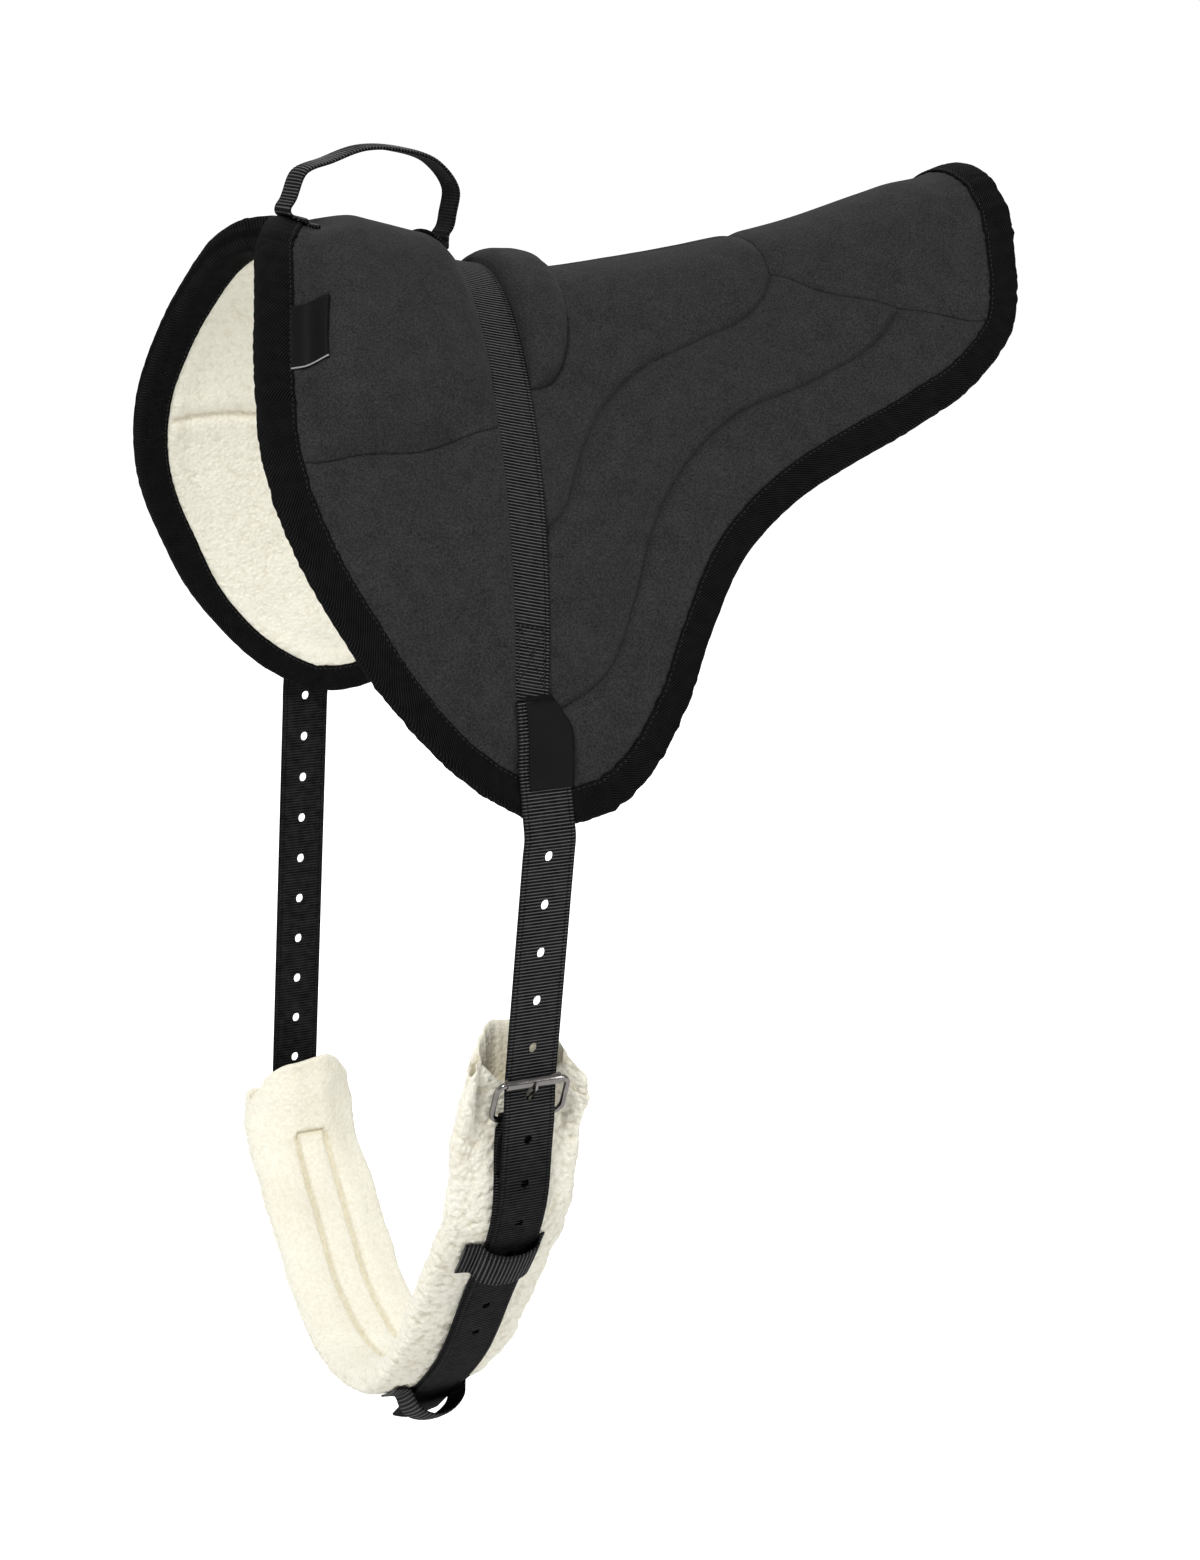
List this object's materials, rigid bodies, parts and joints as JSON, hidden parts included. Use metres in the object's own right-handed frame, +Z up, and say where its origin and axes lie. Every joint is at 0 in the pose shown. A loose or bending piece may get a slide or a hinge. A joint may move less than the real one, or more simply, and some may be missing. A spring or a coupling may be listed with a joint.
{
  "type": "bareback pad",
  "caption": "Fleece-lined felt pad shaped to a horse's back, with channelled flaps, a raised pommel, a grab handle, punched webbing straps and a fleece girth on roller buckles.",
  "frame": {"origin": "under the middle of the crown at the girth line, on the face that lies on the horse's back", "axes": "-X points to the front (the horse's withers), -Y to the near (left) side, +Z up"},
  "size_m": [0.6216, 0.4837, 0.9768],
  "materials": {
    "cover_cloth": "charcoal suede-like microfibre, matt with a short nap",
    "binding_tape": "black cotton twill tape",
    "fleece": "cream curly fleece",
    "felt": "grey needled felt, hidden",
    "foam": "closed-cell foam, hidden",
    "webbing": "black ribbed nylon webbing with a low sheen",
    "label_tape": "plain black satin tape, left bare",
    "buckle_metal": "dark nickel plate, polished"
  },
  "bodies": {
    "pad": {"edge_binding": "binding_tape", "left_fleece_lining": "fleece", "right_fleece_lining": "fleece", "left_felt_core": "felt", "right_felt_core": "felt", "left_front_panel": "cover_cloth", "right_front_panel": "cover_cloth", "left_rear_panel": "cover_cloth", "right_rear_panel": "cover_cloth", "loin_panel": "cover_cloth", "pommel_cover": "cover_cloth", "pommel_foam": "foam", "pommel_rear_lobe": "cover_cloth", "surcingle_webbing": "webbing", "left_billet_anchor": "webbing", "right_billet_anchor": "webbing", "side_label": "label_tape", "strap_label": "label_tape", "handle_front_tab": "webbing", "handle_rear_tab": "webbing"},
    "handle": {"handle": "webbing"},
    "left_strap": {"left_billet": "webbing"},
    "right_strap": {"right_billet": "webbing"},
    "girth": {"girth_sleeve": "fleece", "girth_foam": "foam", "girth_webbing": "webbing", "left_billet_tail": "webbing", "right_billet_tail": "webbing", "left_buckle_frame": "buckle_metal", "right_buckle_frame": "buckle_metal", "left_upper_keeper": "webbing", "right_upper_keeper": "webbing", "lower_keeper": "webbing"},
    "left_roller": {"left_roller": "buckle_metal"},
    "right_roller": {"right_roller": "buckle_metal"},
    "left_tongue": {"left_tongue": "buckle_metal"},
    "right_tongue": {"right_tongue": "buckle_metal"}
  },
  "joints": [
    {"name": "left_strap_swing", "type": "hinge", "parent": "pad", "child": "left_strap", "pos_m": [-0.00152, -0.23885, -0.34553], "axis": [1, 0, 0], "range_deg": [-6, 6]},
    {"name": "right_strap_swing", "type": "hinge", "parent": "pad", "child": "right_strap", "pos_m": [-0.00152, 0.23885, -0.34553], "axis": [1, 0, 0], "range_deg": [-4, 4]},
    {"name": "girth_level", "type": "hinge", "parent": "left_strap", "child": "girth", "pos_m": [-0.01147, -0.23027, -0.51702], "axis": [1, 0, 0], "range_deg": [-7, 7]},
    {"name": "handle_flop", "type": "hinge", "parent": "pad", "child": "handle", "pos_m": [-0.0892, 0, 0.07137], "axis": [0.985, 0, -0.1725], "range_deg": [-35, 35], "stiffness_Nm_per_rad": 0.05},
    {"name": "left_roller_spin", "type": "hinge", "parent": "girth", "child": "left_roller", "pos_m": [-0.01147, -0.23567, -0.51729], "axis": [1, 0, 0], "continuous": true},
    {"name": "right_roller_spin", "type": "hinge", "parent": "girth", "child": "right_roller", "pos_m": [-0.02068, 0.23434, -0.67598], "axis": [1, 0, 0], "continuous": true},
    {"name": "left_tongue_lift", "type": "hinge", "parent": "girth", "child": "left_tongue", "pos_m": [-0.01147, -0.22229, -0.54646], "axis": [1, 0, 0], "range_deg": [0, 5]},
    {"name": "right_tongue_lift", "type": "hinge", "parent": "girth", "child": "right_tongue", "pos_m": [-0.02068, 0.22155, -0.70541], "axis": [-1, 0, 0], "range_deg": [0, 5]}
  ],
  "couplings": [
    {"joint": "girth_level", "follows": "left_strap_swing", "ratio": -1},
    {"joint": "right_strap_swing", "follows": "left_strap_swing", "ratio": 0.52}
  ]
}
